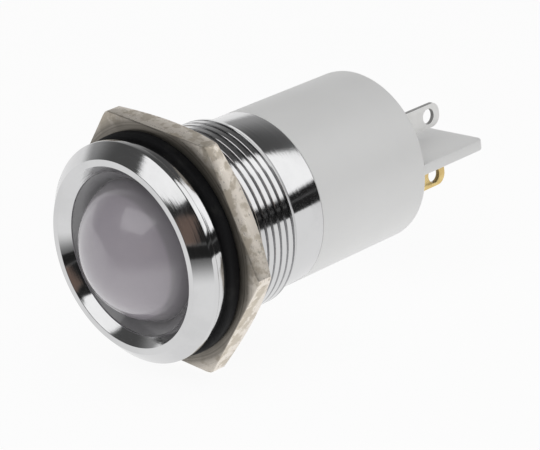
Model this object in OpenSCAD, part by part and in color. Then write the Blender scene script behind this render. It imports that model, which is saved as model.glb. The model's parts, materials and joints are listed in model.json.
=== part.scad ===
// Panel pilot light for a 22 mm hole: a turned bezel with a threaded barrel,
// a domed lens, a gasket, a hexagonal nut and a moulded rear housing with two
// solder tabs parted by a barrier fin.
// +Y runs along the axis from the lens to the tabs. Y = 0 is the rear face of
// the gasket, where the front of the panel sits. Z is up, across the fin.

/* [Barrel] */
// Thread diameter, over the crests
thread_d = 22; // [20:0.1:25]
// Length of full thread behind the relief
thread_len = 8.7; // [6:0.1:9.4]
// Length of the relief behind the panel face, before the full thread
relief_len = 2.1; // [1.6:0.1:2.6]
// Depth of the relief below the thread crests
relief_depth = 0.2; // [0.1:0.05:0.3]
// How far the plain sleeve behind the thread lies below the crests
sleeve_drop = 0.72; // [0.6:0.02:0.9]
// Length of the plain sleeve behind the thread
sleeve_len = 4.75; // [3:0.05:7]
// Wall of the plain sleeve
sleeve_wall = 1.28; // [1:0.02:1.6]

/* [Bezel] */
// How far the rim, the widest part of the bezel, reaches beyond the thread
rim_lap = 1.8; // [1.6:0.05:2.8]
// Width of the cylindrical rim
rim_h = 0.7; // [0.4:0.1:1.2]
// Axial height of the outer cone in front of the rim
cone_h = 1.6; // [1.2:0.1:2.4]
// Width of the flat ring at the front
land_w = 0.75; // [0.4:0.05:1]
// How much wider the cone that leads in to the lens is at its mouth, a side
cup_flare = 1; // [0.7:0.05:1.1]
// Depth of the cone that leads in to the lens
cup_depth = 1.15; // [0.8:0.05:1.4]
// Width of the ledge below that cone, where the lens sits
ledge_w = 0.45; // [0.4:0.01:0.6]
// Width of the fine groove behind the rim
groove_h = 0.2; // [0.1:0.05:0.3]
// Depth of the fine groove below the ring behind it
groove_depth = 0.25; // [0.1:0.05:0.35]
// How far the ring that presses on the gasket lies below the rim
ring_drop = 0.5; // [0.2:0.05:1]
// Width of the ring that presses on the gasket
ring_h = 1.4; // [1:0.1:2.2]

/* [Lens] */
// Width of the flange round the sphere that the dome is part of
flange_w = 0.85; // [0.7:0.01:1]
// How far the dome stands ahead of the bezel
dome_proud = 3.5; // [2.8:0.1:4]
// Wall of the dome
lens_wall = 1.1; // [0.8:0.1:1.4]
// Thickness of the lens flange at its edge
flange_t = 1.85; // [1.7:0.05:2.1]
// How far the edge of the flange lies below the cone that leads in to it
lens_drop = 0.2; // [0.1:0.05:0.4]
// How far the front of the flange falls from its edge to the dome
flange_dish = 1.3; // [0.9:0.1:1.4]
// Wall of the skirt inside the barrel
skirt_wall = 0.9; // [0.6:0.1:1.1]
// Length of the skirt behind the flange
skirt_len = 3.8; // [3:0.1:5]
// Thickness of the seal ring under the flange
seal_t = 0.65; // [0.5:0.05:0.9]

/* [Gasket and nut] */
// How far the gasket stands out beyond the rim
gasket_lip = 0.15; // [0:0.05:0.6]
// Thickness of the gasket
gasket_t = 1.5; // [1:0.1:2.2]
// Radius of the gasket's outer edges
gasket_round = 0.4; // [0.2:0.05:0.45]
// Least wall of the nut, from the thread's crests to a flat
nut_wall = 2.5; // [2:0.1:4]
// Thickness of the nut
nut_t = 2; // [1.6:0.1:3]
// Width of the chamfer on the nut's corners and bore
nut_chamfer = 0.35; // [0.2:0.05:0.5]
// Turn of the nut about its axis, in degrees
nut_turn = 7; // [-30:1:30]

/* [Housing] */
// Draft: how much the diameter has fallen at the rear from the sleeve's
body_draft = 0.16; // [0:0.02:0.3]
// Length of the housing behind the sleeve
body_len = 17.15; // [15:0.05:22]
// Radius of the housing's rear edge
body_round = 0.8; // [0.4:0.1:1.2]
// Thickness of the rear wall
end_wall = 1.7; // [1.4:0.1:2.4]
// Wall of the spigot that holds the housing in the barrel
spigot_wall = 1; // [0.8:0.1:1.2]
// Length of the barrier fin behind the housing
fin_len = 10.3; // [8:0.1:12]
// How far the fin's edges are set in from the housing's side
fin_inset = 1.1; // [0.9:0.1:2]
// Thickness of the barrier fin
fin_t = 1.25; // [0.9:0.05:1.6]
// Corner radius of the barrier fin
fin_round = 1; // [0.4:0.1:2]

/* [Terminals] */
// Width of a solder tab
tab_w = 3.2; // [2.6:0.1:3.4]
// Thickness of a solder tab
tab_t = 0.5; // [0.4:0.05:0.8]
// Reach of a solder tab behind the housing
tab_reach = 8; // [6:0.1:10]
// Radius of the tab's end corners
tab_round = 1.3; // [0.4:0.1:1.5]
// Diameter of the eyelet
eyelet_d = 1.8; // [1.2:0.1:2]
// Distance from the tab's end to the middle of its eyelet
eyelet_back = 1.9; // [1.6:0.1:2.4]
// Distance of the tabs from the side of the cavity in the housing
tab_inset = 2.74; // [2.5:0.02:3.2]
// Height of the middle of each tab above or below the fin
tab_rise = 3.6; // [3.2:0.1:3.7]
// Length of the tab's shoulders inside the rear wall
shoulder_len = 3; // [1:0.1:5]
// Width of the tail that is soldered to the driver board
tail_w = 1; // [0.8:0.1:1.4]

/* [Boards] */
// Thickness of both circuit boards
board_t = 1; // [0.8:0.1:1.6]
// Distance from the rear of the LED board to the front of the driver board
board_gap = 17; // [15:0.1:18.5]
// Diameter of the pins that link the boards
pin_d = 0.8; // [0.6:0.1:1]
// Distance between the two link pins
pin_pitch = 2.54; // [2.54:0.01:3]
// Distance of the link pins from the side of the cavity in the housing
pin_inset = 1.54; // [1.2:0.02:2]
// How far pins and tails stand proud of the driver board
solder_proud = 0.6; // [0.4:0.1:0.8]
// Radius of the circle of LEDs
led_circle = 4.6; // [4.3:0.1:5]
// Length of an LED package, along a radius
led_l = 3.5; // [3:0.1:3.6]
// Width of an LED package
led_w = 2.8; // [2:0.1:3]
// Height of an LED package
led_h = 1; // [0.7:0.1:1.6]
// Length of a rectifier diode's body
diode_l = 3.4; // [3:0.1:3.6]
// Width of a rectifier diode
diode_w = 2.6; // [2:0.1:2.6]
// Height of a rectifier diode
diode_h = 2; // [1.5:0.1:2.4]
// Length of a diode's flat lead beyond its body
lead_l = 0.3; // [0.2:0.05:0.4]
// Thickness of a diode's flat lead
lead_t = 0.3; // [0.1:0.05:0.4]
// Gap between the parts on the driver board
parts_gap = 0.8; // [0.5:0.1:1]
// Length of a ballast resistor's body
resistor_l = 5; // [4:0.1:5.2]
// Diameter of a ballast resistor's body
resistor_d = 1.9; // [1.4:0.1:2]

/* [Hidden] */
$fn = 96;

// Clearances: a fit within the light, a running fit on the thread. Overruns: of
// a cut past the face that it opens, and of a cone that ends on such a face.
fit_gap = 0.06;
run_gap = 0.03;
over = 0.1;
skin = 0.001;

// Places along the axis
flange_back = -gasket_t;
ring_front = flange_back - ring_h;
rim_back = ring_front - groove_h;
rim_front = rim_back - rim_h;
land_y = rim_front - cone_h;
cup_floor = land_y + cup_depth;
lens_edge_y = cup_floor + lens_drop;
lens_back = lens_edge_y + flange_t;
ledge_y = lens_back + seal_t;
skirt_end = lens_back + skirt_len;
spigot_y = skirt_end + board_t;
thread_start = relief_len;
thread_end = thread_start + thread_len;
sleeve_end = thread_end + sleeve_len;
body_end = sleeve_end + body_len;
wall_y = body_end - end_wall;
driver_y = spigot_y + board_gap;
driver_back = driver_y + board_t;
shoulder_y = wall_y - shoulder_len;
tab_end = body_end + tab_reach;

// Radii, outwards and inwards from the thread's crests
thread_r = thread_d / 2;
relief_r = thread_r - relief_depth;
sleeve_r = thread_r - sleeve_drop;
bore_r = sleeve_r - sleeve_wall;
rim_r = thread_r + rim_lap;
ring_r = rim_r - ring_drop;
gasket_r = rim_r + gasket_lip;
seat_r = bore_r + ledge_w;
mouth_r = seat_r + cup_flare;
land_r = mouth_r + land_w;
rear_r = sleeve_r - body_draft / 2;

// The lens, round the same axis
dome_r = seat_r - flange_w;
dome_y = land_y - dome_proud + dome_r;
root_y = lens_edge_y + flange_dish;
root_r = sqrt(dome_r * dome_r - (dome_y - root_y) * (dome_y - root_y));
skirt_r = bore_r - fit_gap;
skirt_in = skirt_r - skirt_wall;

// The cavity in the housing, and what stands in it
cavity_r = skirt_r - spigot_wall;
board_r = cavity_r - fit_gap;
pin_side = cavity_r - pin_inset;
tab_side = cavity_r - tab_inset;

// Turns the Z axis of what it holds on to +Y
module along_axis(y = 0) { translate([0, y, 0]) rotate([-90, 0, 0]) children(); }

// A ring or disc about the axis between two places on it
module band(y0, y1, r, r_in = 0) {
  along_axis(y0) difference() {
    cylinder(r = r, h = y1 - y0);
    if (r_in > 0) translate([0, 0, -over]) cylinder(r = r_in, h = y1 - y0 + 2 * over);
  }
}

// A cone about the axis between two places on it
module taper(y0, y1, r0, r1) { along_axis(y0) cylinder(r1 = r0, r2 = r1, h = y1 - y0); }

// The turned bezel and barrel: a flat front ring between two cones, a rim, a
// grooved ring that presses on the gasket, the thread and the plain sleeve
module bezel_barrel() {
  color("gainsboro") difference() {
    union() {
      taper(land_y, rim_front, land_r, rim_r);
      band(rim_front, rim_back, rim_r);
      band(rim_back, ring_front, ring_r - groove_depth);
      band(ring_front, flange_back, ring_r);
      band(flange_back, thread_start, relief_r);
      band(thread_start, thread_end, thread_r);
      band(thread_end, sleeve_end, sleeve_r);
    }
    lead_in();
    band(cup_floor - over, ledge_y, seat_r);
    band(land_y, sleeve_end + over, bore_r);
  }
}

// The inner cone, carried past the front ring by the overrun
module lead_in() {
  slope = cup_flare / cup_depth;
  taper(land_y - over, cup_floor, mouth_r + slope * over, seat_r);
}

// The diffusing lens: a dome on a dished flange, with a skirt down the barrel
module dome_lens() {
  color([0.62, 0.6, 0.64]) difference() {
    union() {
      intersection() {
        translate([0, dome_y, 0]) sphere(r = dome_r);
        band(land_y - dome_proud - over, lens_back, 2 * dome_r);
      }
      band(root_y, lens_back, root_r + over);
      lens_flange();
      band(lens_back - over, skirt_end, skirt_r);
    }
    lens_hollow();
  }
}

// The flange, its front dished towards the dome
module lens_flange() {
  difference() {
    band(lens_edge_y, lens_back, seat_r - fit_gap);
    taper(lens_edge_y - skin, root_y, seat_r - fit_gap, root_r);
  }
}

// The inside of the dome and of the skirt
module lens_hollow() {
  inner_r = dome_r - lens_wall;
  intersection() {
    translate([0, dome_y, 0]) sphere(r = inner_r);
    band(land_y - dome_proud, lens_back, dome_r);
  }
  band(lens_back - over, skirt_end + over, skirt_in);
}

// Soft ring that the lens flange presses on the ledge in the bezel
module lens_seal_ring() {
  color("dimgray") band(lens_back, ledge_y, seat_r - fit_gap, skirt_r + fit_gap);
}

// Rubber gasket with rounded outer edges, snug on the relief of the barrel
module sealing_gasket() {
  core_r = gasket_r - gasket_round;
  color([0.15, 0.15, 0.15]) difference() {
    union() {
      band(-gasket_t, 0, core_r);
      band(-gasket_t + gasket_round, -gasket_round, gasket_r);
      for (y = [-gasket_t + gasket_round, -gasket_round])
        along_axis(y) rotate_extrude() translate([core_r, 0]) circle(r = gasket_round, $fn = 32);
    }
    band(-gasket_t - over, over, relief_r + fit_gap);
  }
}

// Thin hexagonal nut with broken corners and a chamfered bore
module panel_nut() {
  hole_r = thread_r + run_gap;
  corner_r = (thread_d + 2 * nut_wall) / sqrt(3);
  crown_r = corner_r - nut_chamfer / 3;
  face_r = corner_r - nut_chamfer;
  color([0.72, 0.69, 0.64]) difference() {
    intersection() {
      along_axis(0) rotate([0, 0, nut_turn]) cylinder(r = corner_r, h = nut_t, $fn = 6);
      union() {
        taper(0, nut_chamfer, face_r, crown_r);
        band(nut_chamfer, nut_t - nut_chamfer, crown_r);
        taper(nut_t - nut_chamfer, nut_t, crown_r, face_r);
      }
    }
    band(-over, nut_t + over, hole_r);
    taper(-skin, nut_chamfer, hole_r + nut_chamfer, hole_r);
    taper(nut_t - nut_chamfer, nut_t + skin, hole_r, hole_r + nut_chamfer);
  }
}

// Moulded housing: a spigot in the barrel, a drafted body with a rounded rear
// edge, the barrier fin, and a slot in the rear wall for each solder tab
module rear_housing() {
  color("whitesmoke") difference() {
    union() {
      band(spigot_y, sleeve_end + over, skirt_r);
      taper(sleeve_end, body_end - body_round, sleeve_r, rear_r);
      band(body_end - body_round - over, body_end, rear_r - body_round);
      along_axis(body_end - body_round) rotate_extrude()
        translate([rear_r - body_round, 0]) circle(r = body_round, $fn = 48);
      barrier_fin();
    }
    band(spigot_y - over, wall_y, cavity_r);
    for (side = [-1, 1]) terminal_shape(side, fit_gap);
  }
}

// The fin stands level, through the axis, between the tabs
module barrier_fin() {
  half_w = rear_r - fin_inset;
  flat_w = half_w - fin_round;
  start_y = wall_y + over;
  tip_y = body_end + fin_len;
  translate([0, 0, -fin_t / 2]) linear_extrude(fin_t) union() {
    translate([-half_w, start_y]) square([2 * half_w, tip_y - fin_round - start_y]);
    translate([-flat_w, start_y]) square([2 * flat_w, tip_y - start_y]);
    for (side = [-1, 1]) translate([side * flat_w, tip_y - fin_round]) circle(r = fin_round);
  }
}

// A stamped solder tab: an upright blade with a round end, shoulders inside
// the rear wall and a narrow tail down to the driver board. A growth above
// nought makes the slot that it passes through.
module terminal_shape(side, grow = 0) {
  half = tab_w / 2 + grow;
  round_r = min(tab_round, tab_w / 2 - over / 10);
  tail = tail_w / 2 + grow;
  tail_y = driver_y - solder_proud - grow;
  translate([tab_side - tab_t / 2 - grow, 0, side * tab_rise]) rotate([90, 0, 90])
    linear_extrude(tab_t + 2 * grow) union() {
      translate([tail_y, -tail]) square([shoulder_y + over - tail_y, 2 * tail]);
      translate([shoulder_y - grow, -half])
        square([tab_end - round_r - shoulder_y + grow, 2 * half]);
      translate([shoulder_y, -half + round_r])
        square([tab_end - shoulder_y, 2 * (half - round_r)]);
      for (corner = [-1, 1])
        translate([tab_end - round_r, corner * (half - round_r)]) circle(r = round_r, $fn = 48);
    }
}

// A solder tab with its eyelet; side is 1 above the fin and -1 below it
module terminal(side) {
  difference() {
    terminal_shape(side);
    translate([tab_side, tab_end - eyelet_back, side * tab_rise]) rotate([0, 90, 0])
      cylinder(d = eyelet_d, h = tab_t + 2 * over, center = true, $fn = 48);
  }
}

module terminal_tinned() { color("silver") terminal(1); }
module terminal_gold() { color("gold") terminal(-1); }

// Holes for the link pins through a board between two places on the axis
module pin_holes(y0, y1) {
  for (side = [-1, 1]) translate([-pin_side, 0, side * pin_pitch / 2])
    band(y0, y1, pin_d / 2 + fit_gap);
}

// The LED board is clamped between the lens skirt and the housing's spigot
module led_board() {
  color("white") difference() {
    band(skirt_end, spigot_y, skirt_r - fit_gap);
    pin_holes(skirt_end - over, spigot_y + over);
  }
}

// One LED package: a reflector cup of which the resin fills all but a shallow dip
module led(i) {
  dip = led_h / 4;
  dip_r = led_w / 2 - 0.2;
  color("lightyellow") translate([0, skirt_end - led_h, 0]) rotate([0, 60 * i - 30, 0])
    translate([led_circle, 0, 0]) difference() {
      translate([-led_l / 2, 0, -led_w / 2]) cube([led_l, led_h, led_w]);
      taper(-over, dip, dip_r, dip_r - dip);
    }
}

module led_1() { led(1); }
module led_2() { led(2); }
module led_3() { led(3); }
module led_4() { led(4); }
module led_5() { led(5); }
module led_6() { led(6); }

// The driver board carries the rectifier and takes the tabs' tails
module driver_board() {
  color("darkgreen") difference() {
    band(driver_y, driver_back, board_r);
    pin_holes(driver_y - over, driver_back + over);
    for (side = [-1, 1]) terminal_shape(side, fit_gap);
  }
}

// One surface-mount diode with its two flat leads on the front of the board.
// Column 0 is the one beside the link pins.
module diode(column, row) {
  half_l = diode_l / 2 + lead_l;
  first_x = pin_d / 2 - pin_side + parts_gap + half_l;
  at_x = first_x + column * (2 * half_l + parts_gap);
  at_z = row * (diode_w + lead_t) / 2;
  translate([at_x, driver_y, at_z]) union() {
    color("black") translate([-diode_l / 2, -diode_h, -diode_w / 2])
      cube([diode_l, diode_h - lead_t / 2, diode_w]);
    color("silver") translate([-half_l, -lead_t, -diode_w / 4])
      cube([2 * half_l, lead_t, diode_w / 2]);
  }
}

module rectifier_diode_1() { diode(0, -1); }
module rectifier_diode_2() { diode(0, 1); }
module rectifier_diode_3() { diode(1, -1); }
module rectifier_diode_4() { diode(1, 1); }

// One ballast resistor, beside the diodes, held just off the board on two feet
module resistor(side) {
  foot = 0.5;
  lift = 0.1;
  body_r = resistor_d / 2;
  at_x = pin_d / 2 - pin_side + 2 * parts_gap + resistor_l / 2;
  at_z = side * (diode_w + lead_t / 2 + parts_gap + body_r);
  color("tan") translate([at_x, driver_y - body_r - lift, at_z]) {
    rotate([0, 90, 0]) cylinder(r = body_r, h = resistor_l, center = true);
    for (x = [-1, 1]) translate([x * resistor_l / 2 - foot / 2, 0, -foot / 2])
      cube([foot, body_r + lift, foot]);
  }
}

module ballast_resistor_1() { resistor(-1); }
module ballast_resistor_2() { resistor(1); }

// A pin that joins the two boards, flush with the face that carries the LEDs
module link_pin(side) {
  color("gold") translate([-pin_side, 0, side * pin_pitch / 2])
    band(skirt_end, driver_back + solder_proud, pin_d / 2);
}

module link_pin_1() { link_pin(-1); }
module link_pin_2() { link_pin(1); }

// Resin between the driver board and the rear wall, cast round the tails
module potting_resin() {
  color([0.2, 0.2, 0.22]) difference() {
    band(driver_back, wall_y, cavity_r - fit_gap);
    for (side = [-1, 1]) terminal_shape(side, fit_gap);
    pin_holes(driver_back - over, driver_back + solder_proud + over);
  }
}

bezel_barrel();
dome_lens();
lens_seal_ring();
sealing_gasket();
panel_nut();
rear_housing();
terminal_tinned();
terminal_gold();
led_board();
led_1();
led_2();
led_3();
led_4();
led_5();
led_6();
driver_board();
rectifier_diode_1();
rectifier_diode_2();
rectifier_diode_3();
rectifier_diode_4();
ballast_resistor_1();
ballast_resistor_2();
link_pin_1();
link_pin_2();
potting_resin();
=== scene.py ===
# %% [markdown]
# # A panel pilot light, dressed for a portrait
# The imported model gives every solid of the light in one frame, in metres: +Y
# runs along the axis from the lens to the solder tabs, Y = 0 is where the front
# of the panel sits, and Z is up, across the barrier fin. This lesson builds the
# pieces that meet the eye with mesh operators, gives each a procedural finish,
# and leaves the sealed inner pieces as the solids that they are.

# %% Load the frame
import json
import math
import bmesh
import bpy
from mathutils import Matrix, Vector

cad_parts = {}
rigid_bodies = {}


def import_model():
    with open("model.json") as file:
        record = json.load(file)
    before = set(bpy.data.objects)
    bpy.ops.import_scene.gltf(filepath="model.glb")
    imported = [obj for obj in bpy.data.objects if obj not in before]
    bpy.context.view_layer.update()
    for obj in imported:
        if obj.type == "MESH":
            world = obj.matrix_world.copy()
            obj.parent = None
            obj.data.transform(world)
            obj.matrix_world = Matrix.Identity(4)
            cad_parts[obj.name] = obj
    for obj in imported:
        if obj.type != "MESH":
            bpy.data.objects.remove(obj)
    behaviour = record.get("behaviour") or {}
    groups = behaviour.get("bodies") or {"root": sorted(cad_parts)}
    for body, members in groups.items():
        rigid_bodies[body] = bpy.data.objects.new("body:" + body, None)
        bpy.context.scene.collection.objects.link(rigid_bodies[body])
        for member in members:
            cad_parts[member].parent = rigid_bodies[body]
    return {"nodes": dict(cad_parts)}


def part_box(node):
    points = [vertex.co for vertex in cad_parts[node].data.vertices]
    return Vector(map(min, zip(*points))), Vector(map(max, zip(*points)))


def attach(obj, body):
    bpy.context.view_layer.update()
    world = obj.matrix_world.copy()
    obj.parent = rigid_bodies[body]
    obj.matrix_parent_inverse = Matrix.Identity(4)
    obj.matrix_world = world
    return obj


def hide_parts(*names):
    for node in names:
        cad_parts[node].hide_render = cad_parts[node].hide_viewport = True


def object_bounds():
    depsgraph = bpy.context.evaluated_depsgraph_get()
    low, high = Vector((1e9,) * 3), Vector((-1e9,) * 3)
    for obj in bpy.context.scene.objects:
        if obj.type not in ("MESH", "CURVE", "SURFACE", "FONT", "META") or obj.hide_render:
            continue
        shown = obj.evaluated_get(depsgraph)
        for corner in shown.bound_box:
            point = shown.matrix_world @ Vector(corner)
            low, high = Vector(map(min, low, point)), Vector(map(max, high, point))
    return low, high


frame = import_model()
cad_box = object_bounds()
print("CAD box:", cad_box)

# %% Units and the light's axis
MM = 0.001
FULL_TURN = 2 * math.pi
AXIS = (0, 1, 0)
CENTRE = (0, 0, 0)
nodes = frame["nodes"]
print("CAD nodes:", len(nodes))

# %% [markdown]
# ## The camera
# A long lens from about a third of a metre gives the flat, quiet perspective of
# a catalogue picture. The camera could be aimed with a Track To constraint, but
# its own three directions, written as the columns of a matrix, keep its slight
# roll as well.

# %% Camera
CAMERA_AT = Vector((0.24148, -0.20722, 0.11460))
RIGHT = Vector((0.70400, 0.70218, -0.10647))
UP = Vector((-0.16893, 0.31117, 0.93522))
camera_data = bpy.data.cameras.new("camera")
camera_data.lens = 205.18
camera_data.sensor_width = 36
camera_data.clip_start = 0.01
camera = bpy.data.objects.new("camera", camera_data)
turn = Matrix((RIGHT, UP, RIGHT.cross(UP))).transposed()
camera.matrix_world = Matrix.Translation(CAMERA_AT) @ turn.to_4x4()
bpy.context.scene.collection.objects.link(camera)
bpy.context.scene.camera = camera
print("Camera", round(CAMERA_AT.length * 1000), "mm from the origin")

# %% [markdown]
# ## Turning on a lathe
# Most of this light is turned or moulded round one axis, so most pieces start
# as an outline: points of (place along the axis, radius) in millimetres, with
# the radius of the corner's rounding as a third number. A vertex bevel rounds
# the corners while the outline is still a wire, which costs a few vertices, and
# one full spin makes the surface. A modifier could do both, but then the mesh
# could not be joined to other shapes before it is finished.

# %% A wire outline with rounded corners
def wire_outline(bm, points, closed=True):
    verts = [bm.verts.new((p[1] * MM, p[0] * MM, 0)) for p in points]
    pairs = list(zip(verts, verts[1:]))
    if closed:
        pairs.append((verts[-1], verts[0]))
    for pair in pairs:
        bm.edges.new(pair)
    for size in sorted({p[2] for p in points if len(p) > 2}):
        corners = [v for v, p in zip(verts, points) if len(p) > 2 and p[2] == size]
        bmesh.ops.bevel(
            bm, geom=corners, offset=size * MM, offset_type="OFFSET", segments=4,
            profile=0.5, affect="VERTICES", material=-1)


# %% One full spin, its poles closed and its faces turned outwards
def full_spin(bm, steps, geom=None):
    bmesh.ops.spin(
        bm, geom=geom or bm.verts[:] + bm.edges[:], cent=CENTRE, axis=AXIS,
        angle=FULL_TURN, steps=steps, use_merge=True)
    bmesh.ops.remove_doubles(bm, verts=bm.verts, dist=0.0005 * MM)
    bmesh.ops.recalc_face_normals(bm, faces=bm.faces)


# %% [markdown]
# ## Finishing a piece
# Every piece is smooth-shaded, with the edges that turn more than a set angle
# marked sharp, so that a polished cone keeps a clean reflection up to its very
# corner. Each finished object stays at the origin, with its place in its mesh.

# %% Make the object, ride it on its body, and measure it against its solid
def finish_piece(name, bm, body, cad_nodes, sharp_degrees=32):
    for face in bm.faces:
        face.smooth = True
    limit = math.radians(sharp_degrees)
    for edge in bm.edges:
        edge.smooth = edge.is_manifold and edge.calc_face_angle(0) < limit
    open_edges = sum(not edge.is_manifold for edge in bm.edges)
    mesh = bpy.data.meshes.new(name)
    bm.to_mesh(mesh)
    bm.free()
    piece = bpy.data.objects.new(name, mesh)
    bpy.context.scene.collection.objects.link(piece)
    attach(piece, body)
    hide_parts(*cad_nodes)
    low = [min(v.co[i] for v in mesh.vertices) / MM for i in range(3)]
    high = [max(v.co[i] for v in mesh.vertices) / MM for i in range(3)]
    solid_low, solid_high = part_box(cad_nodes[0])
    print(f"{name}: {len(mesh.polygons)} faces, {open_edges} open edges,",
          "from", [round(c, 2) for c in low], "to", [round(c, 2) for c in high],
          "solid", [round(c / MM, 2) for c in solid_low],
          [round(c / MM, 2) for c in solid_high])
    return piece


# %% [markdown]
# ## The bezel and barrel
# One brass turning: a flat bright ring between an outer and an inner cone, a
# rim, a fine groove, a ring that presses on the gasket, a relief, the thread
# and a plain sleeve that takes the housing. All but the thread is one outline,
# left open where the thread goes.

# %% Sizes of the turning, in millimetres
BORE_R = 9.0
CREST_R = 11.0
ROOT_R = 10.42
SLEEVE_R = 10.28
THREAD_FROM, THREAD_TO = 2.1, 11.1
BARREL_OUTLINE = [
    (THREAD_FROM, ROOT_R - 0.02), (-1.5, ROOT_R - 0.02), (-1.5, 12.3, 0.1),
    (-2.9, 12.3, 0.06), (-2.9, 12.05), (-3.1, 12.05), (-3.1, 12.8, 0.09),
    (-3.8, 12.8, 0.09), (-5.4, 11.2, 0.05), (-5.4, 10.45, 0.05),
    (-4.25, 9.45, 0.05), (-1.55, 9.45), (-1.55, BORE_R), (15.55, BORE_R),
    (15.55, SLEEVE_R, 0.08), (THREAD_TO, SLEEVE_R)]
TURN_STEPS = 160

# %% [markdown]
# ## The thread
# A screw thread is a spin that also travels: one pitch of its outline makes a
# ribbon whose rear edge meets its own front edge one turn on. Merging the
# doubles closes the ribbon into a tube, two cuts square to the axis give it
# ends, and the crests are turned down there, as a die leaves them.

# %% One pitch of thread, swept along the barrel
PITCH = 1.0
THREAD_STEPS = 96
RUN_OUT = 0.5
PITCH_OUTLINE = [
    (0.0, ROOT_R), (0.07, ROOT_R), (0.1, ROOT_R + 0.03), (0.21, CREST_R - 0.04),
    (0.25, CREST_R), (0.84, CREST_R), (0.88, CREST_R - 0.04), (0.97, ROOT_R + 0.03),
    (1.0, ROOT_R)]


def thread_tube(bm):
    turns = math.ceil((THREAD_TO - THREAD_FROM) / PITCH) + 2
    start = THREAD_FROM - PITCH
    verts = [bm.verts.new((r * MM, (start + y) * MM, 0)) for y, r in PITCH_OUTLINE]
    edges = [bm.edges.new(pair) for pair in zip(verts, verts[1:])]
    bmesh.ops.spin(
        bm, geom=verts + edges, cent=CENTRE, axis=AXIS, angle=FULL_TURN * turns,
        dvec=(0, PITCH * MM / THREAD_STEPS, 0), steps=THREAD_STEPS * turns)
    bmesh.ops.remove_doubles(bm, verts=bm.verts, dist=0.001 * MM)
    for vert in bm.verts:
        y = vert.co.y / MM
        radius = math.hypot(vert.co.x, vert.co.z) / MM
        cut = max(0, THREAD_FROM + RUN_OUT - y, y - THREAD_TO + RUN_OUT)
        limit = max(ROOT_R, CREST_R - cut)
        if radius > limit:
            vert.co.x *= limit / radius
            vert.co.z *= limit / radius
    for y, rear in ((THREAD_FROM, False), (THREAD_TO, True)):
        bmesh.ops.bisect_plane(
            bm, geom=bm.verts[:] + bm.edges[:] + bm.faces[:], dist=0.0001 * MM,
            plane_co=(0, y * MM, 0), plane_no=AXIS, clear_inner=not rear, clear_outer=rear)


# %% Join the tube to the rest of the turning, ring to ring
def rim_edges(bm, y):
    return [e for e in bm.edges if e.is_boundary
            and all(abs(v.co.y - y * MM) < 0.002 * MM for v in e.verts)]


bm = bmesh.new()
thread_tube(bm)
turned = bmesh.new()
wire_outline(turned, BARREL_OUTLINE, closed=False)
full_spin(turned, TURN_STEPS)
spare = bpy.data.meshes.new("spare")
turned.to_mesh(spare)
turned.free()
bm.from_mesh(spare)
for y in (THREAD_FROM, THREAD_TO):
    bmesh.ops.bridge_loops(bm, edges=rim_edges(bm, y))
bmesh.ops.recalc_face_normals(bm, faces=bm.faces)
bezel = finish_piece("chromed_bezel_and_barrel", bm, "light", ["bezel_barrel"])

# %% [markdown]
# ## The lens
# A milky moulding: a dome on a dished flange, with a skirt that runs down the
# barrel. Its outline has two true arcs, the outside and the inside of the dome,
# so each is a vertex swung about the dome's centre before the lathe turns it.

# %% An arc as a vertex spun about a centre
DOME_CENTRE = (0, -0.3 * MM, 0)


def dome_arc(bm, radius, stop_y, steps):
    first = bm.verts.new((0, DOME_CENTRE[1] - radius * MM, 0))
    angle = math.acos((DOME_CENTRE[1] - stop_y * MM) / (radius * MM))
    made = bmesh.ops.spin(
        bm, geom=[first], cent=DOME_CENTRE, axis=(0, 0, 1), angle=angle, steps=steps)
    last = [g for g in made["geom_last"] if isinstance(g, bmesh.types.BMVert)][0]
    return last


# %% The lens outline, closed between the two arcs, and its spin
DOME_R = 8.6
DOME_WALL = 1.1
FLANGE_POINTS = [
    (-4.16, 9.44, 0.12), (-2.2, 9.44, 0.1), (-2.2, 8.94), (1.6, 8.94, 0.08),
    (1.6, 8.04, 0.08), (-2.2, 8.04)]
bm = bmesh.new()
outside = dome_arc(bm, DOME_R, -2.75, 28)
inside = dome_arc(bm, DOME_R - DOME_WALL, -2.2, 22)
chain = [outside] + [bm.verts.new((r * MM, y * MM, 0)) for y, r, *_ in FLANGE_POINTS] + [inside]
for pair in zip(chain, chain[1:]):
    bm.edges.new(pair)
soft = [v for v, p in zip(chain[1:], FLANGE_POINTS) if len(p) > 2]
bmesh.ops.bevel(
    bm, geom=soft + [outside], offset=0.06 * MM, offset_type="OFFSET", segments=4,
    profile=0.5, affect="VERTICES", material=-1)
full_spin(bm, TURN_STEPS)
lens = finish_piece("diffusing_lens", bm, "light", ["dome_lens"])

# %% [markdown]
# ## The gasket
# A flat rubber ring with well-rounded outer edges, squeezed between the bezel
# and the panel. A whole outline of four corners is enough, because the bevel
# turns the two outer ones into quarter rounds.

# %% Gasket
GASKET_OUTLINE = [(-1.5, 10.86), (-1.5, 12.95, 0.42), (0.0, 12.95, 0.42), (0.0, 10.86)]
bm = bmesh.new()
wire_outline(bm, GASKET_OUTLINE)
full_spin(bm, TURN_STEPS)
gasket = finish_piece("rubber_gasket", bm, "light", ["sealing_gasket"])

# %% [markdown]
# ## The nut
# A hexagonal nut is a turned disc with six flats milled on it. The mesh is made
# the same way: a spin makes the blank, with a deep chamfer at the rear, and six
# cuts with bisect_plane mill the flats and leave the arcs that a turned chamfer
# leaves on a real nut. The holes that the cuts open are filled, and a narrow
# bevel breaks the edges.

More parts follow.
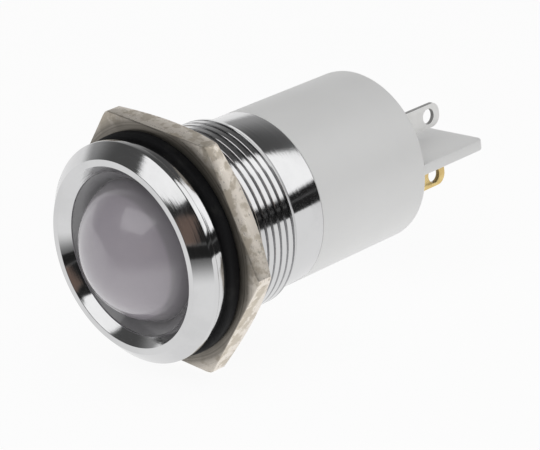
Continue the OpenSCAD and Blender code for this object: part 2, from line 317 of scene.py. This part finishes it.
# %% Turn the blank
NUT_T = 2.9
NUT_HALF_AF = 13.5
CORNER_R = 2 * NUT_HALF_AF / math.sqrt(3)
NUT_CHAMFER = 0.35
NUT_BORE_R = 11.03
CROWN_R = CORNER_R - 0.1
FRONT_FACE_R = CORNER_R - NUT_CHAMFER
REAR_FACE_R = NUT_HALF_AF - 0.1
REAR_CHAMFER = 0.95
NUT_OUTLINE = [
    (NUT_CHAMFER, NUT_BORE_R), (0.0, NUT_BORE_R + NUT_CHAMFER), (0.0, FRONT_FACE_R),
    (NUT_CHAMFER / 3, CROWN_R), (NUT_T - REAR_CHAMFER, CROWN_R), (NUT_T, REAR_FACE_R),
    (NUT_T, NUT_BORE_R + NUT_CHAMFER), (NUT_T - NUT_CHAMFER, NUT_BORE_R)]
bm = bmesh.new()
wire_outline(bm, NUT_OUTLINE)
full_spin(bm, 240)
print("Nut blank:", len(bm.faces), "faces")

# %% Mill the six flats
NUT_TURN = -7
for side in range(6):
    angle = math.radians(NUT_TURN + 30 + 60 * side)
    out = Vector((math.cos(angle), 0, math.sin(angle)))
    bmesh.ops.bisect_plane(
        bm, geom=bm.verts[:] + bm.edges[:] + bm.faces[:], dist=0.0001 * MM,
        plane_co=out * NUT_HALF_AF * MM, plane_no=out, clear_outer=True)
    bmesh.ops.holes_fill(bm, edges=[e for e in bm.edges if e.is_boundary])
bmesh.ops.recalc_face_normals(bm, faces=bm.faces)
flat_faces = [f for f in bm.faces if len(f.verts) > 6]
flat_edges = {e for f in flat_faces for e in f.edges}
bmesh.ops.bevel(
    bm, geom=list(flat_edges), offset=0.07 * MM, offset_type="OFFSET", segments=2,
    profile=0.5, affect="EDGES", clamp_overlap=True, material=-1)
nut = finish_piece("hexagonal_nut", bm, "nut", ["panel_nut"])

# %% [markdown]
# ## The housing and its fin
# A white moulding with a little draft, a rounded rear edge and a level barrier
# fin between the two solder tabs, a little below the axis. The body is one more
# spin. The fin is a block whose two rear corners and then its long edges are
# bevelled; it is let into the rear wall, where the moulding carries it.

# %% Body of the housing
HOUSING_OUTLINE = [
    (31.0, 0.0), (31.0, 7.94), (2.6, 7.94), (2.6, 8.94), (15.6, 8.94),
    (15.6, 10.27, 0.1), (32.7, 10.2, 0.45), (32.7, 0.0)]
bm = bmesh.new()
wire_outline(bm, HOUSING_OUTLINE, closed=False)
full_spin(bm, TURN_STEPS)
print("Housing body:", len(bm.faces), "faces")

# %% Barrier fin
FIN_HALF_W, FIN_HALF_T = 10.05, 0.625
FIN_Z = -0.3
FIN_FROM, FIN_TO = 31.3, 43.0
made = bmesh.ops.create_cube(bm, size=1)
fin_verts = made["verts"]
fin_size = Vector((2 * FIN_HALF_W, FIN_TO - FIN_FROM, 2 * FIN_HALF_T)) * MM
bmesh.ops.scale(bm, verts=fin_verts, vec=fin_size)
bmesh.ops.translate(bm, verts=fin_verts, vec=(0, (FIN_FROM + FIN_TO) / 2 * MM, FIN_Z * MM))
rear_corners = [
    e for v in fin_verts for e in v.link_edges
    if all(abs(w.co.y - FIN_TO * MM) < 1e-6 for w in e.verts)
    and abs(e.verts[0].co.x - e.verts[1].co.x) < 1e-6]
bmesh.ops.bevel(
    bm, geom=list(set(rear_corners)), offset=1.0 * MM, offset_type="OFFSET", segments=8,
    profile=0.5, affect="EDGES", material=-1)
fin_edges = [
    e for e in bm.edges if e.verts[0].co.y > 31.25 * MM and e.calc_face_angle(0) > 1.2
    and all(abs(abs(v.co.z - FIN_Z * MM) - FIN_HALF_T * MM) < 1e-6 for v in e.verts)
    and any(v.co.y > 32.9 * MM for v in e.verts)]
bmesh.ops.bevel(
    bm, geom=fin_edges, offset=0.14 * MM, offset_type="OFFSET", segments=3,
    profile=0.5, affect="EDGES", material=-1)
housing = finish_piece("moulded_housing", bm, "light", ["rear_housing"])

# %% [markdown]
# ## The solder tabs
# Each tab is stamped from half-millimetre sheet: an upright blade with a round
# end and an eyelet, shoulders inside the wall and a tail to the board. The
# outline's end corners are rounded with a vertex bevel, a circle makes the
# eyelet, triangle_fill covers the sheet round the hole, and an extrusion gives
# the thickness.

# %% Stamp a tab
TAB_X = 5.2
TAB_T = 0.5
TAB_RISE = 3.6
EYELET_Y = 38.8
EYELET_R = 0.9
TAB_OUTLINE = [(19.0, 0.5), (28.0, 0.5), (28.0, 1.45), (40.7, 1.45)]


def stamped_tab(name, side, node):
    bm = bmesh.new()
    rise = side * TAB_RISE
    upper = [(y, rise + half) for y, half in TAB_OUTLINE]
    lower = [(y, rise - half) for y, half in reversed(TAB_OUTLINE)]
    front_x = (TAB_X - TAB_T / 2) * MM
    verts = [bm.verts.new((front_x, y * MM, z * MM)) for y, z in upper + lower]
    edges = [bm.edges.new(pair) for pair in zip(verts, verts[1:] + verts[:1])]
    end_corners = [v for v in verts if v.co.y > 40 * MM]
    bmesh.ops.bevel(
        bm, geom=end_corners, offset=1.3 * MM, offset_type="OFFSET", segments=10,
        profile=0.5, affect="VERTICES", material=-1)
    eyelet_at = Matrix.Translation((front_x, EYELET_Y * MM, rise * MM))
    bmesh.ops.create_circle(
        bm, segments=36, radius=EYELET_R * MM, cap_ends=False,
        matrix=eyelet_at @ Matrix.Rotation(math.pi / 2, 4, "Y"))
    bmesh.ops.triangle_fill(bm, edges=bm.edges[:], use_beauty=True)
    inner_edges = [e for e in bm.edges if not e.is_boundary]
    bmesh.ops.dissolve_limit(bm, angle_limit=math.radians(1), verts=[], edges=inner_edges)
    grown = bmesh.ops.extrude_face_region(bm, geom=bm.faces[:])
    moved = [g for g in grown["geom"] if isinstance(g, bmesh.types.BMVert)]
    bmesh.ops.translate(bm, verts=moved, vec=(TAB_T * MM, 0, 0))
    bmesh.ops.recalc_face_normals(bm, faces=bm.faces)
    sheet_edges = [e for e in bm.edges if e.calc_face_angle(0) > 1.2
                   and abs(e.verts[0].co.x - e.verts[1].co.x) < 1e-7]
    bmesh.ops.bevel(
        bm, geom=sheet_edges, offset=0.06 * MM, offset_type="OFFSET", segments=2,
        profile=0.5, affect="EDGES", clamp_overlap=True, material=-1)
    return finish_piece(name, bm, "light", [node])


tinned = stamped_tab("tinned_solder_tab", 1, "terminal_tinned")
gold = stamped_tab("gold_solder_tab", -1, "terminal_gold")

# %% [markdown]
# ## Building materials from nodes
# A material is a tree of small nodes. Two helpers keep the recipes readable:
# one adds a node and fills its sockets, the other does arithmetic. Everything
# is driven by Object coordinates, which lie still on a piece in every view.

# %% Helpers for shader trees
def add(tree, kind, settings=None, **sockets):
    made = tree.nodes.new("ShaderNode" + kind)
    for key, value in (settings or {}).items():
        setattr(made, key, value)
    for key, value in sockets.items():
        plug(tree, made.inputs[key.replace("_", " ")], value)
    return made


def plug(tree, socket, value):
    if isinstance(value, bpy.types.NodeSocket):
        tree.links.new(value, socket)
    else:
        socket.default_value = value


def calc(tree, operation, *values, clamp=False):
    made = tree.nodes.new("ShaderNodeMath")
    made.operation = operation
    made.use_clamp = clamp
    for socket, value in zip(made.inputs, values):
        plug(tree, socket, value)
    return made.outputs[0]


def blend(tree, mask, first, second):
    made = tree.nodes.new("ShaderNodeMix")
    made.data_type = "RGBA"
    for index, value in ((0, mask), (6, first), (7, second)):
        if isinstance(value, tuple):
            value = (*value, 1)
        plug(tree, made.inputs[index], value)
    return made.outputs[2]


def band_mask(tree, value, low, high, to_low=0.0, to_high=1.0):
    made = add(tree, "MapRange", {"interpolation_type": "SMOOTHSTEP"}, Value=value)
    limits = {"From Min": low, "From Max": high, "To Min": to_low, "To Max": to_high}
    for name, number in limits.items():
        made.inputs[name].default_value = number
    return made.outputs[0]


# %% Where a point lies: its place on the piece, and how far it is from the axis
def object_place(tree):
    where = add(tree, "TexCoord").outputs["Object"]
    return add(tree, "SeparateXYZ", Vector=where).outputs


def off_axis(tree, apart):
    across = add(tree, "CombineXYZ", X=apart["X"], Y=apart["Z"]).outputs[0]
    return add(tree, "VectorMath", {"operation": "LENGTH"}, Vector=across).outputs["Value"]


# %% [markdown]
# ## Shared effects
# Grain, blotches and the marks of turning show on several finishes, so each is
# a node group, built once and placed in a material with its own numbers.

# %% A node group with named inputs and one output
def new_group(name, inputs, output):
    tree = bpy.data.node_groups.new(name, "ShaderNodeTree")
    for label, value in inputs.items():
        socket = tree.interface.new_socket(label, in_out="INPUT", socket_type="NodeSocketFloat")
        socket.default_value = value
    tree.interface.new_socket(output, in_out="OUTPUT", socket_type="NodeSocketFloat")
    given = tree.nodes.new("NodeGroupInput").outputs
    return tree, given, tree.nodes.new("NodeGroupOutput").inputs


def place(tree, group, **values):
    made = tree.nodes.new("ShaderNodeGroup")
    made.node_tree = group
    for key, value in values.items():
        plug(tree, made.inputs[key.replace("_", " ")], value)
    return made.outputs[0]


# %% Blotches: broad, soft patches, such as stains, smears and uneven gloss
blotches, given, result = new_group(
    "blotches", {"Per mm": 0.2, "Low": 0.4, "High": 0.6, "Seed": 0}, "Mask")
where = add(blotches, "TexCoord").outputs["Object"]
fine = calc(blotches, "MULTIPLY", given["Per mm"], 1000)
noise = add(
    blotches, "TexNoise", {"noise_dimensions": "4D"}, Vector=where, Scale=fine,
    W=given["Seed"], Detail=5.0, Roughness=0.6)
soft = add(
    blotches, "MapRange", {"interpolation_type": "SMOOTHSTEP"},
    Value=noise.outputs["Fac"], From_Min=given["Low"], From_Max=given["High"])
plug(blotches, result["Mask"], soft.outputs[0])

# %% Grain: a fine, even texture, such as moulded plastic or rubber has
grain, given, result = new_group("grain", {"Per mm": 8}, "Height")
where = add(grain, "TexCoord").outputs["Object"]
fine = calc(grain, "MULTIPLY", given["Per mm"], 1000)
noise = add(grain, "TexNoise", Vector=where, Scale=fine, Detail=3.0, Roughness=0.65)
plug(grain, result["Height"], noise.outputs["Fac"])

# %% Turning marks: fine circles round the axis, from noise read in (radius, place) alone
turning, given, result = new_group("turning_marks", {"Per mm": 6, "Waver": 0.3}, "Lines")
where = add(turning, "TexCoord").outputs["Object"]
apart = add(turning, "SeparateXYZ", Vector=where).outputs
radius = off_axis(turning, apart)
fine = calc(turning, "MULTIPLY", given["Per mm"], 1000)
slow = add(turning, "TexNoise", Vector=where, Scale=90.0, Detail=1.0).outputs["Fac"]
lathe_place = add(turning, "CombineXYZ", X=calc(turning, "MULTIPLY", radius, fine),
                  Y=calc(turning, "MULTIPLY", apart["Y"], fine),
                  Z=calc(turning, "MULTIPLY", slow, given["Waver"])).outputs[0]
noise = add(turning, "TexNoise", Vector=lathe_place, Scale=1.0, Detail=4.0, Roughness=0.7)
plug(turning, result["Lines"], noise.outputs["Fac"])
print("Groups:", [g.name for g in bpy.data.node_groups])


# %% A material with its Principled shader, and a bump from a height
def new_finish(name, **sockets):
    material = bpy.data.materials.new(name)
    material.use_nodes = True
    tree = material.node_tree
    shader = tree.nodes["Principled BSDF"]
    for key, value in sockets.items():
        shader.inputs[key.replace("_", " ")].default_value = value
    return material, tree, shader


def bump(tree, shader, height, depth_mm, strength=1.0):
    made = add(tree, "Bump", Height=height, Distance=depth_mm * MM, Strength=strength)
    tree.links.new(made.outputs[0], shader.inputs["Normal"])


def finish_slots(material, *objects):
    for o in objects:
        o.data.materials.clear()
        o.data.materials.append(material)


# %% [markdown]
# ## Bright chrome
# Chrome plate on turned brass reflects about two thirds of the light, nearly
# without colour. Its look is its surroundings, so the finish only adds what
# breaks a perfect mirror: faint circles left by the lathe under the plating,
# and a thin film of handling in soft patches.

# %% Chrome
chrome, tree, shader = new_finish("bright_chrome", Metallic=1.0)
lines = place(tree, turning, Per_mm=3.3, Waver=0.5)
film = place(tree, blotches, Per_mm=0.16, Low=0.42, High=0.66, Seed=3.0)
tone = blend(tree, film, (0.70, 0.70, 0.705), (0.655, 0.655, 0.66))
plug(tree, shader.inputs["Base Color"], tone)
rough = calc(tree, "ADD", band_mask(tree, lines, 0.3, 0.8, 0.045, 0.095),
             calc(tree, "MULTIPLY", film, 0.05))
plug(tree, shader.inputs["Roughness"], rough)
bump(tree, shader, lines, 0.011)
finish_slots(chrome, bezel)

# %% [markdown]
# ## Milky lens
# The lens is clear plastic filled with a white diffuser, which looks a cool
# lilac grey when it is dark. Light goes a little way in and spreads, so a
# little subsurface scattering softens its shading, under a glossy skin. Two
# radius masks paint shade on the foot of the dome and, darker still, on the
# flange, where the bezel's ring shades them.

# %% Lens
milky, tree, shader = new_finish("milky_lens", IOR=1.6, Coat_Weight=0.7, Coat_Roughness=0.05)
shader.inputs["Subsurface Weight"].default_value = 0.35
shader.inputs["Subsurface Radius"].default_value = (1.0, 1.0, 1.1)
shader.inputs["Subsurface Scale"].default_value = 1.2 * MM
cloud = place(tree, blotches, Per_mm=0.12, Low=0.3, High=0.7, Seed=8.0)
radius = off_axis(tree, object_place(tree))
crown = blend(tree, cloud, (0.35, 0.323, 0.358), (0.375, 0.346, 0.38))
# painted shade: the foot of the dome, below the bezel's land, darker than the crown
lens_foot_shade = blend(tree, band_mask(tree, radius, 7.05 * MM, 7.4 * MM), crown, (0.285, 0.268, 0.29))
# painted shade: the flange, deeper in the bezel, darker still
lens_flange_shade = blend(tree, band_mask(tree, radius, 8.1 * MM, 8.4 * MM), lens_foot_shade, (0.235, 0.232, 0.24))
plug(tree, shader.inputs["Base Color"], lens_flange_shade)
fine_grain = place(tree, grain, Per_mm=14.0)
plug(tree, shader.inputs["Roughness"], band_mask(tree, fine_grain, 0.3, 0.7, 0.18, 0.24))
bump(tree, shader, fine_grain, 0.0012)
finish_slots(milky, lens)

# %% [markdown]
# ## Black rubber
# A moulded gasket is not quite black: dust lifts it in soft patches, and its
# fine grain keeps it matt. The seal ring under the lens is of the same rubber.

# %% Rubber
rubber, tree, shader = new_finish("black_rubber", IOR=1.3)
dust = place(tree, blotches, Per_mm=0.5, Low=0.48, High=0.72, Seed=1.0)
tone = blend(tree, dust, (0.006, 0.006, 0.007), (0.016, 0.016, 0.015))
plug(tree, shader.inputs["Base Color"], tone)
fine_grain = place(tree, grain, Per_mm=9.0)
plug(tree, shader.inputs["Roughness"], band_mask(tree, fine_grain, 0.3, 0.7, 0.55, 0.75))
bump(tree, shader, fine_grain, 0.01)
finish_slots(rubber, gasket, nodes["lens_seal_ring"])

# %% [markdown]
# ## Nickel-plated nut
# Dull nickel has a warm, beige tint and shows every touch. Stains of two sizes
# mottle the plate. Painted shade darkens the front face next to the gasket, in
# two tones along the lathe's circles, and clears towards the corners.

# %% Nickel
nickel, tree, shader = new_finish("dull_nickel", Metallic=0.72)
lines = place(tree, turning, Per_mm=3.2, Waver=1.5)
stains = place(tree, blotches, Per_mm=0.55, Low=0.46, High=0.55, Seed=5.0)
specks = place(tree, blotches, Per_mm=1.6, Low=0.55, High=0.72, Seed=2.0)
tone = blend(tree, stains, (0.90, 0.83, 0.74), (0.66, 0.59, 0.49))
tone = blend(tree, specks, tone, (0.50, 0.45, 0.38))
apart = object_place(tree)
front = band_mask(tree, apart["Y"], 0.1 * MM, 0.3 * MM, 1.0, 0.0)
# painted shade on the front face: full next to the gasket, fading towards the corners
shade_fades_to_corners = band_mask(tree, off_axis(tree, apart), 13.4 * MM, 15.2 * MM, 1.0, 0.35)
face_shade_mask = calc(tree, "MULTIPLY", front, shade_fades_to_corners)
circles = band_mask(tree, lines, 0.38, 0.62)
# the painted shade's two dark tones follow the real turning circles
face_shade_and_circles = blend(tree, circles, (0.14, 0.127, 0.108), (0.235, 0.213, 0.184))
plug(tree, shader.inputs["Base Color"], blend(tree, face_shade_mask, tone, face_shade_and_circles))
satin = band_mask(tree, lines, 0.3, 0.7, 0.26, 0.40)
rough = calc(tree, "ADD", satin, calc(tree, "MULTIPLY", stains, 0.08))
plug(tree, shader.inputs["Roughness"], rough)
bump(tree, shader, lines, 0.012)
finish_slots(nickel, nut)

# %% [markdown]
# ## White plastic
# The housing is a stiff, slightly glossy white plastic, hardly textured, with
# a trace of unevenness in its gloss and tone.

# %% White plastic
white, tree, shader = new_finish("white_plastic", IOR=1.5)
shade = place(tree, blotches, Per_mm=0.07, Low=0.3, High=0.7, Seed=4.0)
tone = blend(tree, shade, (0.80, 0.80, 0.795), (0.77, 0.77, 0.765))
plug(tree, shader.inputs["Base Color"], tone)
fine_grain = place(tree, grain, Per_mm=5.0)
plug(tree, shader.inputs["Roughness"], band_mask(tree, fine_grain, 0.3, 0.7, 0.36, 0.46))
bump(tree, shader, fine_grain, 0.006)
finish_slots(white, housing)

# %% [markdown]
# ## Tinned and gold-plated tabs
# Dipped tin flows a little, so it is satin, pale and uneven. Gold plate is
# thinner and follows the rolled sheet below it. On both, painted shade darkens
# the sheared upper edge and the wall of the punched eyelet.

# %% Painted shade on the cut edges of a tab: its top edge, and the wall of its eyelet
TAB_TOP = (TAB_RISE + TAB_OUTLINE[-1][1]) * MM
EDGE_SHADE_TONE = 0.35


def cut_edge_shade(tree):
    apart = object_place(tree)
    # painted shade along the sheared top edge
    top_edge_shade = band_mask(tree, apart["Z"], TAB_TOP - 0.07 * MM, TAB_TOP - 0.03 * MM)
    along = calc(tree, "SUBTRACT", apart["Y"], EYELET_Y * MM)
    above = calc(tree, "SUBTRACT", calc(tree, "ABSOLUTE", apart["Z"]), TAB_RISE * MM)
    beside = add(tree, "CombineXYZ", X=along, Y=above).outputs[0]
    reach = add(tree, "VectorMath", {"operation": "LENGTH"}, Vector=beside).outputs["Value"]
    # painted shade in the punched wall of the eyelet
    eyelet_wall_shade = band_mask(tree, reach, (EYELET_R + 0.01) * MM, (EYELET_R + 0.06) * MM, 1.0, 0.0)
    return calc(tree, "MAXIMUM", top_edge_shade, eyelet_wall_shade)


# %% Tin and gold
def plated_tab(name, metal, first, second, low, high, wave_mm, piece):
    material, tree, shader = new_finish(name, Metallic=metal)
    flow = place(tree, blotches, Per_mm=0.7, Low=0.35, High=0.65, Seed=6.0)
    # painted shade: the cut edges take the plate's second tone, darkened
    edge_shade_colour = tuple(EDGE_SHADE_TONE * c for c in second)
    tone = blend(tree, cut_edge_shade(tree), blend(tree, flow, first, second), edge_shade_colour)
    plug(tree, shader.inputs["Base Color"], tone)
    plug(tree, shader.inputs["Roughness"], band_mask(tree, flow, 0.0, 1.0, low, high))
    bump(tree, shader, flow, wave_mm)
    finish_slots(material, piece)


plated_tab(
    "tinned_sheet", 0.0, (0.96, 0.955, 0.94), (0.92, 0.915, 0.90), 0.3, 0.45, 0.006, tinned)
plated_tab(
    "gold_plate", 1.0, (0.84, 0.66, 0.30), (0.76, 0.56, 0.24), 0.2, 0.32, 0.008, gold)

# %% [markdown]
# ## The sealed inner pieces
# The boards and their parts are out of sight behind the milky lens, but the
# model carries them, so each gets a finish of its own kind.

# %% Inner pieces
def grained(name, first, second, low, high, per_mm, depth_mm, *names, metal=0.0):
    material, tree, shader = new_finish(name, Metallic=metal)
    patch = place(tree, blotches, Per_mm=per_mm / 4, Low=0.4, High=0.62, Seed=7.0)
    plug(tree, shader.inputs["Base Color"], blend(tree, patch, first, second))
    fine_grain = place(tree, grain, Per_mm=per_mm)
    plug(tree, shader.inputs["Roughness"], band_mask(tree, fine_grain, 0.3, 0.7, low, high))
    bump(tree, shader, fine_grain, depth_mm)
    finish_slots(material, *[nodes[n] for n in names])


LEDS = [f"led_{i}" for i in range(1, 7)]
DIODES = [f"rectifier_diode_{i}" for i in range(1, 5)]
RESISTORS = ["ballast_resistor_1", "ballast_resistor_2"]
PINS = ["link_pin_1", "link_pin_2"]
grained("white_solder_mask", (0.78, 0.78, 0.75), (0.72, 0.72, 0.68), 0.3, 0.4, 6, 0.004, "led_board")
grained("green_solder_mask", (0.02, 0.14, 0.05), (0.03, 0.2, 0.07), 0.25, 0.4, 5, 0.01, "driver_board")
grained("yellow_phosphor", (0.78, 0.66, 0.25), (0.72, 0.58, 0.18), 0.3, 0.45, 8, 0.004, *LEDS)
grained("black_epoxy", (0.02, 0.02, 0.022), (0.03, 0.03, 0.032), 0.45, 0.6, 10, 0.008, *DIODES)
grained("buff_lacquer", (0.55, 0.42, 0.26), (0.48, 0.36, 0.2), 0.35, 0.5, 4, 0.01, *RESISTORS)
grained("plated_pin", (0.84, 0.66, 0.30), (0.78, 0.58, 0.24), 0.2, 0.35, 12, 0.003, *PINS, metal=1.0)
grained("dark_resin", (0.02, 0.02, 0.024), (0.035, 0.035, 0.04), 0.2, 0.35, 2, 0.02, "potting_resin")

# %% [markdown]
# ## The floor
# The floor is the top of a grid, well beyond the picture on every side. Most
# of its white is a glow that only the camera sees, and the rest is matt paint,
# so it stays pale and still keeps the object's soft shadow. More light would
# make it as white, but it would bleach the object too.

# %% Floor
FLOOR_Z = cad_box[0][2] - 0.0002
FLOOR_GLOW = 0.93
bm = bmesh.new()
bmesh.ops.create_grid(bm, x_segments=2, y_segments=2, size=1.5)
bmesh.ops.translate(bm, verts=bm.verts, vec=(0, 0, FLOOR_Z))
floor_mesh = bpy.data.meshes.new("floor")
bm.to_mesh(floor_mesh)
bm.free()
floor = bpy.data.objects.new("floor", floor_mesh)
bpy.context.scene.collection.objects.link(floor)
floor.visible_diffuse = False
floor.visible_glossy = False
floor_white = bpy.data.materials.new("floor_white")
floor_white.use_nodes = True
tree = floor_white.node_tree
tree.nodes.remove(tree.nodes["Principled BSDF"])
paint = add(tree, "BsdfDiffuse", Color=(0.93, 0.93, 0.93, 1)).outputs[0]
glow = add(tree, "Emission", Color=(1, 1, 1, 1), Strength=1.0).outputs[0]
seen = add(tree, "LightPath").outputs["Is Camera Ray"]
surface = add(tree, "MixShader", Fac=calc(tree, "MULTIPLY", seen, FLOOR_GLOW))
tree.links.new(paint, surface.inputs[1])
tree.links.new(glow, surface.inputs[2])
tree.links.new(surface.outputs[0], tree.nodes["Material Output"].inputs["Surface"])
finish_slots(floor_white, floor)
print("Floor at", round(FLOOR_Z / MM, 2), "mm")

# %% [markdown]
# ## The studio
# Chrome and nickel are pictures of the room, so the room is painted with care:
# a white table that lights the object from below, a white sweep behind it, a
# large softbox overhead in front, another low on the right, and dark walls
# between them, which give a polished ring its black bands. The room is one
# sphere. Reflected rays see the painting, and scattered light sees a plain
# tent, bright below and greyer above, so neither spoils the other.

# %% A sphere round the set, unseen by the camera
ROOM_R = 1.3
bm = bmesh.new()
bmesh.ops.create_uvsphere(bm, u_segments=64, v_segments=32, radius=ROOM_R)
bmesh.ops.reverse_faces(bm, faces=bm.faces)
room_mesh = bpy.data.meshes.new("studio_room")
bm.to_mesh(room_mesh)
bm.free()
room = bpy.data.objects.new("studio_room", room_mesh)
bpy.context.scene.collection.objects.link(room)
for ray in ("camera", "shadow", "volume_scatter"):
    setattr(room, "visible_" + ray, False)
room_paint = bpy.data.materials.new("room_paint")
room_paint.use_nodes = True
room_paint.cycles.emission_sampling = "NONE"
tree = room_paint.node_tree
tree.nodes.remove(tree.nodes["Principled BSDF"])
apart = add(tree, "SeparateXYZ", Vector=add(tree, "TexCoord").outputs["Object"]).outputs
rise = calc(tree, "DIVIDE", apart["Z"], ROOM_R)


# %% Helpers: how far a wall lies towards a bearing, and a rectangle with soft edges
def towards(bearing):
    angle = math.radians(bearing)
    across = calc(tree, "MULTIPLY", apart["X"], math.sin(angle) / ROOM_R)
    return calc(tree, "MULTIPLY_ADD", apart["Y"], -math.cos(angle) / ROOM_R, across)


def rectangle(across, along, left, right, low, high, soft):
    inside = band_mask(tree, across, left - soft, left + soft)
    for value, at, sign in ((across, right, -1), (along, low, 1), (along, high, -1)):
        signed = calc(tree, "MULTIPLY", value, sign)
        edge = band_mask(tree, signed, sign * at - soft, sign * at + soft)
        inside = calc(tree, "MULTIPLY", inside, edge)
    return inside


def mix_level(mask, first, second):
    made = tree.nodes.new("ShaderNodeMix")
    for index, value in ((0, mask), (2, first), (3, second)):
        plug(tree, made.inputs[index], value)
    return made.outputs[0]


# %% Walls: dark, with a thin lighter seam round the right side
LEFT_WALL, RIGHT_WALL, SEAM_GLOW = 0.085, 0.018, 0.07
right_side = band_mask(tree, towards(85), 0.1, 0.6)
walls = mix_level(right_side, LEFT_WALL, RIGHT_WALL)
seam_low = band_mask(tree, rise, 0.035, 0.05)
seam_high = band_mask(tree, rise, 0.07, 0.085, 1.0, 0.0)
seam = calc(tree, "MULTIPLY", right_side, calc(tree, "MULTIPLY", seam_low, seam_high))
walls = calc(tree, "ADD", walls, calc(tree, "MULTIPLY", seam, SEAM_GLOW))

# %% A white sweep behind, that fades upwards in two steps
behind = band_mask(tree, towards(-131), 0.25, 0.75)
sweep_top = mix_level(band_mask(tree, rise, 0.37, 0.78), 0.36, 0.08)
sweep = mix_level(band_mask(tree, rise, 0.17, 0.37), 0.95, sweep_top)
walls = mix_level(behind, walls, sweep)

# %% A white table, dusky at its far edge on the camera's side
far_edge = band_mask(tree, rise, -0.5, -0.12, 0.92, 0.16)
dusk = mix_level(band_mask(tree, towards(35), 0.2, 0.8), 0.9, far_edge)
table_edge = band_mask(tree, towards(-105), -0.1, 0.6, -0.13, 0.2)
above_table = band_mask(tree, calc(tree, "SUBTRACT", rise, table_edge), -0.012, 0.012)
level = mix_level(above_table, dusk, walls)

# %% Two softboxes: one overhead in front, one low on the right
SOFTBOX_GLOW = 1.22
up = calc(tree, "MAXIMUM", rise, 0.001)
over_x = calc(tree, "DIVIDE", towards(90), up)
over_y = calc(tree, "DIVIDE", towards(0), up)
front_box = rectangle(over_x, over_y, -0.38, 0.74, 0.45, 1.4, 0.03)
out = calc(tree, "MAXIMUM", towards(145), 0.001)
beside_box = calc(tree, "DIVIDE", towards(235), out)
above_box = calc(tree, "DIVIDE", rise, out)
right_box = rectangle(beside_box, above_box, -0.38, 0.31, 0.205, 1.35, 0.03)
level = mix_level(calc(tree, "MAXIMUM", front_box, right_box), level, SOFTBOX_GLOW)

# %% A brown board beside the camera, between the softbox and the table
BROWN, BROWN_GLOW = (1, 0.72, 0.6), 0.15
ahead = calc(tree, "MAXIMUM", towards(34), 0.001)
beside = calc(tree, "DIVIDE", towards(124), ahead)
board = rectangle(beside, rise, -0.15, 0.12, 0.06, 0.42, 0.03)
unlit = calc(tree, "LESS_THAN", level, 0.2)
board = calc(tree, "MULTIPLY", calc(tree, "MULTIPLY", board, above_table), unlit)
tint = blend(tree, board, (1, 1, 1), BROWN)
level = calc(tree, "ADD", level, calc(tree, "MULTIPLY", board, BROWN_GLOW))

# %% Reflected rays see the painting, scattered light sees a soft tent
TENT_BELOW, TENT_ABOVE = 0.95, 0.40
tent = band_mask(tree, rise, -0.35, 0.35, TENT_BELOW, TENT_ABOVE)
glossy = add(tree, "LightPath").outputs["Is Glossy Ray"]
painted = add(tree, "Emission", Color=tint, Strength=level).outputs[0]
soft_tent = add(tree, "Emission", Color=(1, 1, 1, 1), Strength=tent).outputs[0]
choice = add(tree, "MixShader", Fac=glossy)
tree.links.new(soft_tent, choice.inputs[1])
tree.links.new(painted, choice.inputs[2])
tree.links.new(choice.outputs[0], tree.nodes["Material Output"].inputs["Surface"])
finish_slots(room_paint, room)
print("Room painting:", len(tree.nodes), "nodes")

# %% A softbox lamp overhead, for shape and for the shadow on the floor
def area_lamp(name, at, aim, width, height, watts):
    data = bpy.data.lights.new(name, "AREA")
    data.shape = "RECTANGLE"
    data.size = width
    data.size_y = height
    data.energy = watts
    lamp = bpy.data.objects.new(name, data)
    at = Vector(at)
    aimed = (Vector(aim) - at).to_track_quat("-Z", "Y").to_matrix().to_4x4()
    lamp.matrix_world = Matrix.Translation(at) @ aimed
    lamp.visible_glossy = False
    bpy.context.scene.collection.objects.link(lamp)


area_lamp("softbox", (0.115, -0.16, 0.5), (0.0, 0.0, 0), 0.7, 0.7, 1.3)

# %% World: white wherever the camera looks past the floor
world = bpy.data.worlds.new("studio")
bpy.context.scene.world = world
world.use_nodes = True
tree = world.node_tree
tree.nodes.clear()
path = add(tree, "LightPath").outputs
seen = calc(tree, "MAXIMUM", path["Is Camera Ray"], path["Is Glossy Ray"])
seen = calc(tree, "MAXIMUM", seen, path["Is Transmission Ray"])
white_seen = add(tree, "Background", Color=(1, 1, 1, 1), Strength=1.0).outputs[0]
fill = add(tree, "Background", Color=(1, 1, 1, 1), Strength=0.5).outputs[0]
choice = add(tree, "MixShader", Fac=seen)
tree.links.new(fill, choice.inputs[1])
tree.links.new(white_seen, choice.inputs[2])
tree.links.new(choice.outputs[0], add(tree, "OutputWorld").inputs["Surface"])
bpy.context.scene.view_settings.view_transform = "Standard"
